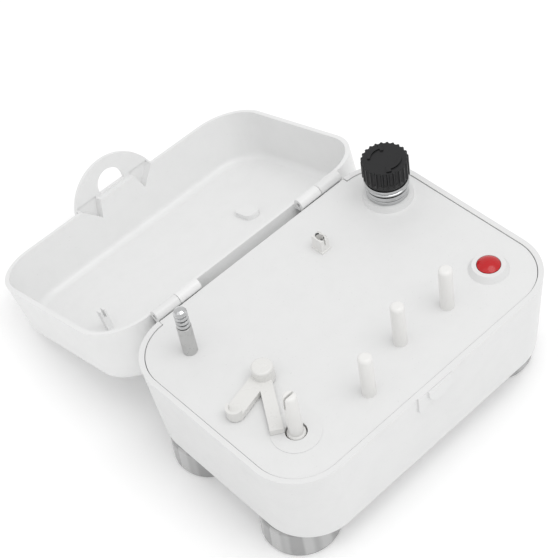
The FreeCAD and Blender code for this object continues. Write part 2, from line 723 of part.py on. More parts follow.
# ---------------------------------------------------------------- the stop lever and its switch
def arm(length, width, base, height, angle):
    """A bar from the lever's pivot, turned clockwise from +X by an angle."""
    turn = "(%s)*1deg" % angle
    bar = doc.addObject("Part::Box", "Arm")
    bind(bar, Length=length, Width=width, Height=height)
    turned_to(bar, "clockwise", angle)
    return place(bar, "lever_x - (%s)/2*sin(%s)" % (width, turn),
                 "lever_y - (%s)/2*cos(%s)" % (width, turn), base)


def stop_lever():
    def thumb(distance):
        return ("lever_x + (%s)*cos(thumb_angle*1deg)" % distance,
                "lever_y - (%s)*sin(thumb_angle*1deg)" % distance)
    tip = thumb("thumb_length")
    # a half ring at the end of the thumb arm gives the finger something to push
    ring = drilled(rod(*tip, "arm_low", "thumb_width/2", "arm_high - arm_low + 2.2"),
                   [rod(*tip, "arm_high", "thumb_width/2 - 1.2", "8"),
                    arm("thumb_length", "30", "arm_high", "8", "thumb_angle")])
    boss = turned("LeverBoss", [
        ("0", "arm_low"), ("lever_radius", "arm_low"), ("lever_radius", "boss_top"), ("0", "boss_top")],
        "lever_x", "lever_y", [(value["lever_radius"], value["boss_top"], "1")])
    pieces = [
        boss,
        arm("sensor_length", "sensor_width", "arm_low", "arm_high - arm_low", "sensor_angle"),
        arm("thumb_length", "thumb_width", "arm_low", "arm_high - arm_low", "thumb_angle"),
        rod("lever_x", "lever_y", "45.2", "stub_radius", "12"),
        ring,
    ]
    return finish(drilled(joined(pieces), [rod("lever_x", "lever_y", "44", "1.03", "8")]), "stop_lever")


def lever_cam():
    hub = rod("lever_x", "lever_y", "45.6", "4.4", "4.4")
    nose = rod("lever_x + 8", "lever_y", "45.6", "1.2", "2.6")
    bar = block("lever_x + 4", "lever_y", "45.6", "8", "2.2", "2.6")
    bore = rod("lever_x", "lever_y", "40", "stub_radius + 0.02", "20")
    return finish(drilled(joined([hub, nose, bar]), [bore]), "lever_cam")


def lever_screw():
    head = rod("lever_x", "lever_y", "43.8", "3.2", "1.4")
    shank = rod("lever_x", "lever_y", "44", "1", "7")
    return finish(joined([head, shank]), "lever_screw")


def stop_switch():
    body = block("lever_x + 13.2", "lever_y - 7", "43.6", "12.8", "5.8", "6")
    pocket = turned_to(rod("lever_x + 9", "lever_y - 3.6", "46.9", "0.85", "5.6"), "along", "90")
    finish(drilled(body, [pocket]), "stop_switch_body")
    finish(turned_to(rod("lever_x + 9", "lever_y - 1.4", "46.9", "0.8", "5.7"), "along", "90"),
           "stop_switch_plunger")


# ---------------------------------------------------------------- the spool pin
def spool_pin():
    """The tube's thin stem sits in the deck's socket, and the rod slides in the tube."""
    tube = turned("SpoolTube", [
        ("2.05", "44"), ("socket_radius", "44"), ("socket_radius", DECK_TOP), ("spool_radius", DECK_TOP),
        ("spool_radius", "69.2"), ("spool_radius - 0.3", "69.5"), ("2.05", "69.5")], "spool_x", "spool_y")
    finish(tube, "spool_pin_tube")
    groove = "ring_radius - 0.55"
    profile = [("0", "44.6"), ("2", "44.6"), ("2", "70")]
    for ring in range(3):
        low = 70 + 2.2 * ring
        profile += [("ring_radius", "%.2f" % (low + 0.2)), ("ring_radius", "%.2f" % (low + 1.5)),
                    (groove, "%.2f" % (low + 1.7)), (groove, "%.2f" % (low + 2.2))]
    profile += [("ring_radius", "76.8"), ("ring_radius", "spool_top - 1.6"), (groove, "spool_top - 0.6"),
                ("1.2", "spool_top"), ("0", "spool_top")]
    finish(turned("SpoolRod", profile, "spool_x", "spool_y"), "spool_pin_rod")


# ---------------------------------------------------------------- the tension device
def tension_device():
    at = ("tension_x", "tension_y")
    stud = joined([rod(*at, "45", "1.97", "28"), rod(*at, "46.8", "3.4", "1")])
    finish(stud, "tension_stud")
    nut = shared(rod(*at, "47.8", "4.4", "4.3"), block(*at, "47", "7.2", "9", "6"))
    finish(drilled(nut, [rod(*at, "40", "2", "20")]), "tension_lock_nut")
    base = turned("TensionBase", [
        ("2.05", "ring_top"), ("8.5", "ring_top"), ("8.8", "ring_top + 0.3"), ("8.8", "58.6"),
        ("8.5", "58.9"), ("2.05", "58.9")], *at)
    finish(base, "tension_base")
    lower = turned("LowerDisc", [
        ("2.05", "60.5"), ("8", "60.5"), ("8.2", "59.3"), ("8.7", "59.3"), ("disc_radius - 0.4", "59.6"),
        ("disc_radius - 0.4", "60.4"), ("8.6", "61"), ("8", "61.2"), ("2.05", "61.2")], *at)
    finish(lower, "tension_disc_lower")
    upper = turned("UpperDisc", [
        ("2.05", "61.7"), ("7.8", "61.7"), ("8.6", "61.9"), ("disc_radius - 0.3", "62.3"),
        ("disc_radius - 0.3", "62.9"), ("8.5", "63.3"), ("8.5", "63.7"), ("disc_radius - 0.1", "64.1"),
        ("disc_radius - 0.1", "64.6"), ("disc_radius - 0.4", "64.9"), ("8.2", "64.9"), ("7.9", "62.5"),
        ("2.05", "62.5")], *at)
    finish(upper, "tension_disc_upper")
    finish(spring("TensionSpring", *at, "62.8", 4.2, 0.35, 2.2, 6.9), "tension_spring")
    # the knob: a serrated cap with a plain skirt and a threaded brass insert
    body = doc.addObject("PartDesign::Body", "KnobCap")
    circle = new_sketch(body, "XY_Plane", "knob_base + 1.8")
    circle.addGeometry(Part.Circle(FreeCAD.Vector(), FreeCAD.Vector(0, 0, 1), 9.7), False)
    circle.addConstraint(Sketcher.Constraint("Coincident", 0, 3, -1, 1))
    number = circle.addConstraint(Sketcher.Constraint("Radius", 0, 9.7))
    circle.setExpression("Constraints[%d]" % number, sized("knob_radius"))
    pad = body.newObject("PartDesign::Pad", "Cap")
    pad.Profile = circle
    bind(pad, Length="knob_top - knob_base - 1.8")
    last = rounded(body, pad, lambda e: e.BoundBox.ZMin > value["knob_top"] - 0.01, "0.3")
    notch = new_sketch(body, "XY_Plane", "knob_base")
    beside = FreeCAD.Vector(value["knob_radius"] + 0.15, 0, 0)
    notch.addGeometry(Part.Circle(beside, FreeCAD.Vector(0, 0, 1), 1.0), False)
    doc.recompute()
    flute = body.newObject("PartDesign::Pocket", "Flute")
    flute.Profile = notch
    flute.Reversed = True
    flute.Length = 20
    body.Tip = flute
    doc.recompute()
    ring = body.newObject("PartDesign::PolarPattern", "Flutes")
    ring.Originals = [flute]
    ring.Axis = (notch, ["N_Axis"])
    ring.Angle = 360
    ring.Occurrences = 24
    body.Tip = ring
    place(body, *at)
    skirt = cone(*at, "knob_base", "8.6", "9", "3")
    arrows = []
    for way, start in (("anticlockwise", "50"), ("clockwise", "130")):
        arc = drilled(rod(*at, "knob_top - 0.3", "6.9", "0.8"), [rod(*at, "knob_top - 1", "5.7", "3")])
        wedge = doc.addObject("Part::Cylinder", "Wedge")
        bind(wedge, Radius="8", Height="4", Angle="85")
        turned_to(wedge, way, start)
        place(wedge, *at, "knob_top - 1")
        arrows.append(shared(arc, wedge))
        head = doc.addObject("Part::Cylinder", "Head")
        bind(head, Radius="8.2", Height="0.8", Angle="15")
        turned_to(head, way, start)
        place(head, *at, "knob_top - 0.3")
        arrows.append(drilled(head, [rod(*at, "knob_top - 1", "4.4", "3")]))
    cavity = rod(*at, "knob_base - 1", "6.2", "6")
    bore = rod(*at, "knob_base - 1", "3", "knob_top - knob_base - 0.8")
    finish(drilled(joined([body, skirt] + arrows), [cavity, bore]), "tension_knob")
    insert = drilled(rod(*at, "72.1", "2.98", "1.4"), [rod(*at, "60", "2.05", "13.2")])
    finish(insert, "knob_insert")


# ---------------------------------------------------------------- the start button
def start_button():
    at = ("button_x", "button_y")
    dome = shared(ball(*at, "51.4", "7.4"), rod(*at, "54", "button_radius", "20"))
    lugs = shared(rod(*at, "50.4", "6.6", "1.4"), block(*at, "50", "20", "7", "4"))
    cap = joined([dome, rod(*at, "51.6", "button_radius", "4"), lugs, rod(*at, "44.6", "1.8", "8")])
    finish(cap, "start_button")
    body = drilled(block(*at, "34", "8", "8.3", "10"), [rod(*at, "37.4", "1.8", "10")])
    finish(body, "start_switch_body")
    finish(rod(*at, "40.2", "1.7", "4.35"), "start_switch_plunger")
    finish(spring("ButtonSpring", *at, "44.35", 3.0, 0.3, 1.4, 5.6), "button_spring")


# ---------------------------------------------------------------- the battery bay
def battery_bay():
    cells = []
    for side in SIDES:
        y = side + "cell_spread"
        button = "bay_x + cell_length/2 - 0.5" if side else "bay_x - cell_length/2 - 1"
        cells.append(joined([
            cross_rod("bay_x - cell_length/2", y, "cell_height", "cell_radius", "cell_length"),
            cross_rod(button, y, "cell_height", "2.7", "1.5")]))
    finish(group(cells), "battery_cells")
    plates = [block("bay_x + cell_length/2 + 3.5", "0", "17.5", "0.4", "28", "13"),
              block("bay_x - cell_length/2 - 3.5", "cell_spread", "17.5", "0.4", "12", "13"),
              block("bay_x - cell_length/2 - 3.5", "-cell_spread", "17.5", "0.4", "12", "13")]
    finish(group(plates), "battery_contacts")
    coils = []
    for x, y in (("bay_x - cell_length/2 - 2.9", "-cell_spread"),
                 ("bay_x + cell_length/2 + 0.4", "cell_spread")):
        coils.append(spring("EndSpring", x, y, "cell_height", 3.4, 0.3, 1.1, 2.5, lying=True))
    finish(group(coils), "battery_springs")
    tabs = [block("bay_x + %s" % tab, "0", "case_base + 1.25", "6", "35.4", "0.85") for tab in ("-12", "22")]
    plate = joined(tabs + [block("bay_x - 0.8", "0", "case_base + 0.1", "60.8", "32.4", "1.3"),
                           block("bay_x - 0.8", "0", "case_base + 1.2", "60.8", "29", "0.9")])
    ribs = [block("bay_x - 24 + %d" % (3 * k), "0", "case_base", "1.2", "14", "0.4") for k in range(4)]
    finish(drilled(plate, ribs), "battery_door")


case_tub()
suction_feet()
case_screws()
lid()
hinge_pins()
deck_panel()
bobbin_pegs()
thread_guide()
winding_spindle()
spindle_shaft()
bush("upper_bush", "47", "3", "50")
bush("lower_bush", "plate_base", "2.2", "plate_base + plate_thick")
gears()
gear_bracket()
bracket_screws()
drive_motor()
stop_lever()
lever_cam()
lever_screw()
stop_switch()
spool_pin()
tension_device()
start_button()
battery_bay()

doc.recompute()
for part in PARTS:
    shape = part.Shape
    if "Invalid" in part.State or "Error" in part.State or shape.isNull() or not shape.isValid():
        raise RuntimeError("%s did not build: %s" % (part.Label, part.State))
for thing in doc.Objects:
    if "Invalid" in thing.State or "Error" in thing.State:
        raise RuntimeError("%s did not build: %s" % (thing.Label, thing.State))

os.makedirs("parts", exist_ok=True)
for part in PARTS:
    part.Shape.exportStep("parts/%s.step" % part.Label)
    box = part.Shape.BoundBox
    print("%-22s solids %d  x %.1f..%.1f  y %.1f..%.1f  z %.1f..%.1f" % (
        part.Label, len(part.Shape.Solids), box.XMin, box.XMax, box.YMin, box.YMax, box.ZMin, box.ZMax))
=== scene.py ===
# %% [markdown]
# # A portable bobbin winder
#
# This lesson dresses a finished CAD model of a small electric bobbin winder.  The winder is a
# white plastic case with a lid.  A motor under the deck turns a slotted spindle, a bell-crank
# lever stops it when the bobbin is full, and a spring-loaded pair of discs keeps the thread taut.
#
# The CAD model already has the shapes, so most of the work here is surface work: what each
# plastic, metal and rubber looks like close up, and how to say that with shader maths.  Only one
# piece is made anew, a spring that has to flatten.

# %% [markdown]
# ## The frame
# The CAD model arrives in metres with +Z up.

import json
import math

import bmesh
import bpy
from mathutils import Matrix, Vector


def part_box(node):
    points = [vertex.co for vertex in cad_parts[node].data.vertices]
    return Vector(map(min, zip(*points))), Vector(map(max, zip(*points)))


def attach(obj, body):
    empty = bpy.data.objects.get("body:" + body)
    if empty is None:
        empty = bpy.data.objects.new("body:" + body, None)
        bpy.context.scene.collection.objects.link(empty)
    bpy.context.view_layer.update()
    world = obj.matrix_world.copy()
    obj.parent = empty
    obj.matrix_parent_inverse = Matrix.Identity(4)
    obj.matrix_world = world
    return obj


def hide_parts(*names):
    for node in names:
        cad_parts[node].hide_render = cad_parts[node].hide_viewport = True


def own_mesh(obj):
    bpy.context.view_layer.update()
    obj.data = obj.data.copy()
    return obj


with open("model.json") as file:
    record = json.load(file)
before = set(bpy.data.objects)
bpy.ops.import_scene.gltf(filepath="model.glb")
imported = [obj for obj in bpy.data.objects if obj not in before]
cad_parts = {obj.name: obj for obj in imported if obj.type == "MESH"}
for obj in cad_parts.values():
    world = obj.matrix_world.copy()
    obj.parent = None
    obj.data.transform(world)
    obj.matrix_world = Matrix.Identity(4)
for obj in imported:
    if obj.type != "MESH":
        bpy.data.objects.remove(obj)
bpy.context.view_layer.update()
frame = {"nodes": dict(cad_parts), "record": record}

# %% [markdown]
# ## A small language for shader maths
# A shader tree is a formula drawn as boxes.  Written as boxes it is hard to read, so this class
# lets a socket be added, multiplied or raised to a power like a number.  The reflected forms make
# it work with the number in front too, as in 1 - mask.

# %% Wire: a socket that does sums
class Wire:
    """An output socket that can be used in ordinary arithmetic."""

    def __init__(self, finish, socket):
        self.finish = finish
        self.socket = socket

    def maths(self, operation, *others, first=None):
        """One Math node; first takes this socket's place when a number stands in front."""
        values = [self if first is None else first, *others]
        inputs = {index: value for index, value in enumerate(values)}
        return self.finish.node("ShaderNodeMath", {"operation": operation}, inputs)

    def __add__(self, other):
        return self.maths("ADD", other)

    def __sub__(self, other):
        return self.maths("SUBTRACT", other)

    def __mul__(self, other):
        return self.maths("MULTIPLY", other)

    def __truediv__(self, other):
        return self.maths("DIVIDE", other)

    def __pow__(self, other):
        return self.maths("POWER", other)

    def __radd__(self, other):
        return self.maths("ADD", self, first=other)

    def __rsub__(self, other):
        return self.maths("SUBTRACT", self, first=other)

    def __rmul__(self, other):
        return self.maths("MULTIPLY", self, first=other)

    def __rtruediv__(self, other):
        return self.maths("DIVIDE", self, first=other)

    def __rpow__(self, other):
        return self.maths("POWER", self, first=other)

    def size(self):
        """The value without its sign."""
        return self.maths("ABSOLUTE")

    def larger(self, other):
        """Whichever of two values is the larger."""
        return self.maths("MAXIMUM", other)

    def band(self, low, high):
        """0 below low, 1 above high and a smooth step between."""
        settings = {"interpolation_type": "SMOOTHSTEP"}
        values = {"Value": self, "From Min": low, "From Max": high}
        return self.finish.node("ShaderNodeMapRange", settings, values)


print("a wire also knows:", ", ".join(name for name in vars(Wire) if not name.startswith("_")))

# %% [markdown]
# ## A finish
# A finish is one material.  Every node in it comes from the method node(), which takes the node's
# type, its settings, which are set first, and the values or wires that go into its sockets.  The
# other methods are patterns that more than one finish needs: noise, rings and scratches.
#
# All patterns are measured in metres on the piece itself, so that a grain of a third of a
# millimetre is just that, and stays where it is when the piece moves.

# %% Finish: a material that is built node by node
class Finish:
    """A material that is built up one node at a time."""

    def __init__(self, name):
        self.material = bpy.data.materials.new(name)
        self.material.use_nodes = True
        self.tree = self.material.node_tree
        self.tree.nodes.clear()
        light = self.node("ShaderNodeBsdfPrincipled")
        self.shader = light.socket.node
        self.node("ShaderNodeOutputMaterial", {}, {"Surface": light})

    def fill(self, node, inputs):
        """Put a value or a wire into each socket that is named."""
        for key, value in inputs.items():
            if isinstance(value, Wire):
                self.tree.links.new(value.socket, node.inputs[key])
            else:
                node.inputs[key].default_value = value

    def node(self, kind, settings=None, inputs=None, out=0):
        """Add a node, and give one of its outputs as a wire if it has any."""
        made = self.tree.nodes.new(kind)
        for key, value in (settings or {}).items():
            setattr(made, key, value)
        self.fill(made, inputs or {})
        return Wire(self, made.outputs[out]) if len(made.outputs) else None

    def set(self, **inputs):
        """Set the shader's own sockets; underscores stand for spaces."""
        self.fill(self.shader, {key.replace("_", " "): value for key, value in inputs.items()})

    def place(self, scale=(1.0, 1.0, 1.0)):
        """The point on the piece, in metres, stretched by scale."""
        here = self.node("ShaderNodeTexCoord", out="Object")
        return self.node("ShaderNodeVectorMath", {"operation": "MULTIPLY"}, {0: here, 1: scale})

    def noise(self, size, detail=3.0, roughness=0.5, stretch=(1.0, 1.0, 1.0)):
        """Cloudy noise from 0 to 1 whose lumps are about size metres across."""
        values = {"Vector": self.place(stretch), "Scale": 1.0 / size,
                  "Detail": detail, "Roughness": roughness}
        return self.node("ShaderNodeTexNoise", {}, values)

    def along(self, axis):
        """The distance along one axis, in metres: 0, 1 or 2 for X, Y or Z."""
        here = self.node("ShaderNodeTexCoord", out="Object")
        return self.node("ShaderNodeSeparateXYZ", {}, {0: here}, out=axis)

    def stripes(self, value, size, detail=3.0):
        """Noise along a single value, for rings, grooves and streaks about size apart."""
        values = {"W": value, "Scale": 1.0 / size, "Detail": detail}
        return self.node("ShaderNodeTexNoise", {"noise_dimensions": "1D"}, values)

    def scuffs(self, size):
        """1 in fine scratches, which come in patches, and 0 elsewhere."""
        thin = 0.045
        middle_of_noise = 0.5
        lines = self.noise(size, detail=1.0, stretch=(1.0, 0.35, 0.6)) - middle_of_noise
        patches = self.noise(size * 3.0, detail=2.0).band(0.50, 0.62)
        return (1.0 - (lines.size() / thin).band(0.0, 1.0)) * patches

    def mix(self, share, first, second):
        """A colour between first and second."""
        # The Mix node has a set of sockets for each kind of value; 6, 7 and 2 are the colours'.
        inputs = {0: share, 6: first, 7: second}
        return self.node("ShaderNodeMix", {"data_type": "RGBA"}, inputs, out=2)

    def bump(self, height, distance, under=None):
        """Relief distance metres deep, on top of the relief under, if there is one."""
        values = {"Height": height, "Distance": distance, "Strength": 1.0}
        if under is not None:
            values["Normal"] = under
        return self.node("ShaderNodeBump", {}, values)


def grey(level):
    """A neutral colour."""
    return (level, level, level, 1.0)


def times(colour, factor):
    """A colour made darker or lighter."""
    return tuple(channel * factor for channel in colour[:3]) + (1.0,)


patterns = [name for name in vars(Finish) if not name.startswith("_")]
print("a finish can make:", ", ".join(patterns))

# %% [markdown]
# ## Moulded plastic
# The case, the lid and the deck are injection-moulded ABS.  The mould is polished and then lightly
# spark-eroded, so the surface has a very fine grain.  Over larger distances the plastic shrinks a
# little as it cools, which leaves slow waves in the gloss.  A few hair scratches and specks come
# from use.
#
# White could be made by a flat colour alone.  It would look like paper, because what the eye reads
# as plastic is the way its gloss changes from place to place.  So the same cloudy noise moves the
# colour by 2 % and the roughness by a good deal more, and the scratches change the gloss alone.

# %% White ABS
WAVES = 0.022  # metres across, as are the next three
CLOUDS = 0.009
SPECKS = 0.0007
SCRATCHES = 0.006
WAVE_DEPTH = 0.00003
CLOUD_TINT = 0.982
SPECK_TINT = 0.72
SPECK_SHARE = 0.35
CLOUD_GLOSS = 0.14
ABS_INDEX = 1.53


def moulded(name, colour, roughness, grain=0.00035, grain_depth=0.000012, wear=0.10):
    """Plastic from a mould; grain is how far apart its fine pits are, in metres."""
    finish = Finish(name)
    fine = finish.noise(grain, detail=2.0)
    slow = finish.noise(WAVES, detail=1.0)
    cloud = finish.noise(CLOUDS, detail=4.0, roughness=0.6)
    speck = finish.noise(SPECKS, detail=1.0).band(0.74, 0.78)
    scuff = finish.scuffs(SCRATCHES)
    base = finish.mix(cloud.band(0.35, 0.75), colour, times(colour, CLOUD_TINT))
    finish.set(
        Base_Color=finish.mix(speck * SPECK_SHARE, base, times(colour, SPECK_TINT)),
        Roughness=(cloud - 0.5) * CLOUD_GLOSS + scuff * wear + roughness,
        IOR=ABS_INDEX,
        Normal=finish.bump(fine, grain_depth, under=finish.bump(slow, WAVE_DEPTH)),
    )
    return finish


cool_white = (0.755, 0.757, 0.755, 1.0)
# The lid's white is the case's white painted paler, as painted light, because the lid faces the
# lamps.
lit_case_white = (0.820, 0.822, 0.820, 1.0)
warm_white = (0.800, 0.795, 0.780, 1.0)
bone_white = (0.750, 0.746, 0.730, 1.0)
signal_red = (0.50, 0.010, 0.014, 1.0)
case_white = moulded("case_white", cool_white, 0.36)
lid_lit_white = moulded("lid_lit_white", lit_case_white, 0.36)
deck_white = moulded("deck_white", cool_white, 0.42)
small_white = moulded("small_white", warm_white, 0.30, grain=0.0006)
lever_white = moulded("lever_white", bone_white, 0.28, grain=0.0006)
button_red = moulded("button_red", signal_red, 0.20, grain=0.0008, grain_depth=0.000004)
button_red.set(Coat_Weight=0.1, Coat_Roughness=0.06, IOR=1.42)
print("a moulded finish takes", len(case_white.tree.nodes), "nodes")

# %% [markdown]
# The knob and the switches are dark.  On black plastic nearly all the light that comes back is
# gloss, so the roughness matters far more than the colour.  The gears and the bracket are
# natural nylon, which is creamy and a little waxy.

# %% Black plastic and nylon
deep_black = (0.010, 0.010, 0.011, 1.0)
soft_black = (0.022, 0.022, 0.024, 1.0)
cream = (0.72, 0.70, 0.63, 1.0)
knob_black = moulded("knob_black", deep_black, 0.36, grain=0.0003, grain_depth=0.00003)
knob_black.set(IOR=1.42)
switch_black = moulded("switch_black", soft_black, 0.5, grain=0.0002, grain_depth=0.00002)
nylon = moulded("nylon", cream, 0.48, wear=0.2)
print("dark and creamy:", *(f.material.name for f in (knob_black, switch_black, nylon)))

# %% [markdown]
# ## Metals
# The spool pin and the tension discs are brightly plated.  They were turned on a lathe, so their
# marks are rings: on a pin they follow one another up its length, and on a disc they lie one
# inside the other.  Screws, pins and the motor's can are zinc-plated steel with a cloudy skin, and
# the bushes, the pinion and the knob's insert are bronze.
#
# The lathe's marks are noise along one value only.  For a pin that value is the height, and for a
# disc it is the height and the distance from its axis together.  The same distance finds the
# grooves, which are painted nearly black as painted shade for the shadow that falls into them.
# Only a short stretch below the top of the piece is grooved and shaded, and the rest stays bright.

# %% Turned metal
STAINS = 0.004  # metres across, as are the pits
PITS = 0.0005
GROOVE_FOOT = (0.0091, 0.0088)  # metres below the top: the grooves begin between these two
GROOVE_HEAD = (0.0034, 0.0028)  # and they end between these two
# How dark the pits and the grooves are painted: the pits are real dark pitting, and the grooves
# take painted shade.
PIT_DIRT_AND_GROOVE_SHADE_TINT = 0.08
STAIN_GLOSS = 0.22
MARK_GLOSS = 0.16
PIT_GLOSS = 0.2


def middle(node):
    """The middle of the box round a piece."""
    low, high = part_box(node)
    return (low + high) / 2


def ring_distance(finish, node):
    """How far a point is from the upright axis through the middle of a piece."""
    centre = middle(node)
    dx = finish.along(0) - centre.x
    dy = finish.along(1) - centre.y
    return (dx * dx + dy * dy) ** 0.5


def metal(name, colour, roughness, around=None, mark=0.00022, mark_depth=0.000006, stained=0.80,
          groove=None):
    """Metal with a lathe's marks; groove is a piece, its grooves' floor radius and rim radius, and
    the grooves are painted nearly black as painted shade.
    """
    finish = Finish(name)
    across = finish.along(2)
    if around is not None:
        across = across + ring_distance(finish, around)
    marks = finish.stripes(across, mark)
    stain = finish.noise(STAINS, detail=5.0, roughness=0.62)
    pits = finish.noise(PITS, detail=1.0).band(0.70, 0.76)
    base = finish.mix(stain.band(0.45, 0.80), colour, times(colour, stained))
    # shade holds the real dark pits, and in the grooves it takes painted shade, nearly black, for
    # the shadow that falls into them.
    shade = pits * 0.5
    if groove is not None:
        node, floor_radius, rim_radius = groove
        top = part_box(node)[1].z
        height = finish.along(2)
        above_foot, above_head = (height.band(top - deep, top - shallow)
                                  for deep, shallow in (GROOVE_FOOT, GROOVE_HEAD))
        ringed = above_foot - above_head
        inside = 1.0 - ring_distance(finish, node).band(floor_radius, rim_radius)
        shade = shade.larger(inside * ringed)
    stain_gloss = (stain - 0.5) * STAIN_GLOSS
    mark_gloss = (marks - 0.5) * MARK_GLOSS
    finish.set(
        Base_Color=finish.mix(shade, base, times(colour, PIT_DIRT_AND_GROOVE_SHADE_TINT)),
        Metallic=1.0,
        Roughness=roughness + stain_gloss + mark_gloss + pits * PIT_GLOSS,
        Normal=finish.bump(marks, mark_depth),
    )
    return finish


bright_chrome = metal("bright_chrome", (0.62, 0.625, 0.63, 1.0), 0.12,
                      groove=("spool_pin_rod", 0.00222, 0.00250))
satin_nickel = metal("satin_nickel", (0.58, 0.58, 0.575, 1.0), 0.36,
                     mark=0.0003, mark_depth=0.00001)
disc_chrome = metal("disc_chrome", (0.56, 0.565, 0.57, 1.0), 0.20, around="tension_base",
                    groove=("tension_disc_upper", 0.00835, 0.00870))
plain_steel = metal("plain_steel", (0.44, 0.44, 0.45, 1.0), 0.32, stained=0.7)
motor_steel = metal("motor_steel", (0.42, 0.42, 0.43, 1.0), 0.34, mark=0.0006, stained=0.75)
dark_steel = metal("dark_steel", (0.16, 0.16, 0.165, 1.0), 0.30)
bronze = metal("bronze", (0.62, 0.42, 0.20, 1.0), 0.28, stained=0.65)
print("metals:", bright_chrome.material.name, disc_chrome.material.name, plain_steel.material.name)

# %% [markdown]
# ## Feet
# The feet are soft grey rubber with a glossy skin, and they are cast round.  Their side walls carry
# painted reflections: paler and darker upright bands that stand for the lamps mirrored in the
# gloss.
# The bands are noise along the angle round a foot, so every foot carries the same few bands.  One
# formula serves all four: the sign of X and of Y says which corner a point is in, and the angle is
# taken about a spot a little way in from that corner, near the middle of the foot.

# %% Foot rubber
def feet_rubber():
    """Grey rubber with painted reflection bands on its sides, cloudy dirt, and a bottom edge made
    darker towards the floor.
    """
    finish = moulded("foot_grey", (0.30, 0.31, 0.32, 1.0), 0.24, grain=0.0009, grain_depth=0.000008)
    low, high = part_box("suction_feet")
    half = (high - low) / 2
    centre = (high + low) / 2
    corner_inset = 0.0155  # about half a millimetre short of a foot's true radius
    # The streak values below are painted reflections: upright bands of paler and darker colour for
    # the light mirrored in the glossy side wall.
    reflection_band_width = 0.9  # radians
    plain_band_tone = 0.4  # the tone where there are no streaks
    x = finish.along(0) - centre.x
    y = finish.along(1) - centre.y
    dx = x - x.maths("SIGN") * (half.x - corner_inset)
    dy = y - y.maths("SIGN") * (half.y - corner_inset)
    angle = dy.maths("ARCTAN2", dx)
    reflection_band = finish.stripes(angle, reflection_band_width, detail=1.0).band(0.47, 0.53)
    side_wall = ((dx * dx + dy * dy) ** 0.5).band(0.0140, 0.0147)
    reflection_band = reflection_band * side_wall + (1.0 - side_wall) * plain_band_tone
    dirt = finish.noise(0.005, detail=5.0, roughness=0.65)
    # The painted reflection bands swing the rubber's colour between these two greys.
    rubber = finish.mix(reflection_band, grey(0.34), grey(0.49))
    # Darker towards the bottom: the lowest millimetre of each foot is mixed towards dark grey, on
    # top of the cloudy dirt.
    darker_bottom_edge = 1.0 - finish.along(2).band(0.0004, 0.0013)
    dirt_and_darker_bottom = (dirt.band(0.55, 0.8) * 0.3).larger(darker_bottom_edge * 0.7)
    finish.set(
        Base_Color=finish.mix(dirt_and_darker_bottom, rubber, grey(0.16)),
        Roughness=(dirt - 0.5) * 0.2 + reflection_band * 0.06 + 0.19,
    )
    return finish


foot_grey = feet_rubber()
print("foot rubber takes", len(foot_grey.tree.nodes), "nodes")

# %% [markdown]
# ## Cells
# The two cells lie along X, the opposite way round to each other.  A plain shrink wrap covers the
# steel can, and its ends are folded over so that a ring of bare steel shows.  A band of another
# colour marks the end with the button.

# %% Cell wrap
def shrink_wrap():
    """Printed film round the cells, with the distances measured back from their ends."""
    wrap_blue = (0.030, 0.055, 0.110, 1.0)
    wrap_amber = (0.42, 0.25, 0.09, 1.0)
    bare_steel = (0.55, 0.55, 0.56, 1.0)
    bare_ring = (0.0018, 0.0015)
    amber_band = (0.0140, 0.0137)
    finish = Finish("cell_wrap")
    low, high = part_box("battery_cells")
    centre = (low + high) / 2
    half = (high.x - low.x) / 2
    side = (finish.along(1) - centre.y).maths("SIGN")
    forward = (finish.along(0) - centre.x) * side
    bare = forward.size().band(half - bare_ring[0], half - bare_ring[1])
    band = forward.band(half - amber_band[0], half - amber_band[1])
    creases = finish.noise(0.0009, detail=3.0, stretch=(0.3, 1.0, 1.0))
    cloud = finish.noise(0.006, detail=3.0)
    wrap = finish.mix(band, wrap_blue, wrap_amber)
    finish.set(
        Base_Color=finish.mix(bare, wrap, bare_steel),
        Metallic=bare.larger(band * 0.5),
        Roughness=cloud * 0.2 + bare * 0.08 + 0.18,
        Normal=finish.bump(creases, 0.00002),
    )
    return finish


cell_wrap = shrink_wrap()
print("cell wrap takes", len(cell_wrap.tree.nodes), "nodes")

# %% [markdown]
# ## Dressing the CAD pieces
# The record of the part says which material slot each piece takes.  Each slot has one finish, so
# a loop over the record does nearly all the work.  A few pieces are told apart from the rest of
# their slot: the discs are turned the other way from the pin, the tube is duller than the rod, and
# the lid, which faces the light, is painted a little paler than the case as painted light.

# %% Put the finishes on the CAD pieces
FINISHES = {
    "case_white": case_white,
    "deck_white": deck_white,
    "small_white": small_white,
    "foot_grey": foot_grey,
    "knob_black": knob_black,
    "button_red": button_red,
    "bright_chrome": bright_chrome,
    "plain_steel": plain_steel,
    "bronze": bronze,
    "nylon": nylon,
    "switch_black": switch_black,
    "cell_wrap": cell_wrap,
}
OWN_FINISH = {
    "lid": lid_lit_white,
    "stop_lever": lever_white,
    "motor_can": motor_steel,
    "guide_eyelet": dark_steel,
    "spool_pin_tube": satin_nickel,
    "tension_base": disc_chrome,
    "tension_disc_lower": disc_chrome,
    "tension_disc_upper": disc_chrome,
}
for entry in frame["record"]["subparts"]:
    piece = frame["nodes"][entry["node"]]
    finish = OWN_FINISH.get(entry["node"], FINISHES[entry["material_slot"]])
    for index in range(len(piece.material_slots)):
        piece.material_slots[index].material = finish.material

# %% [markdown]
# ## The button's return spring
# The start button stands on a small coil spring, and the spring has to shorten when the button
# goes down.  A rigid copy would stick out through the button, so the spring is made again here as
# a round wire wound with one spin that also climbs.

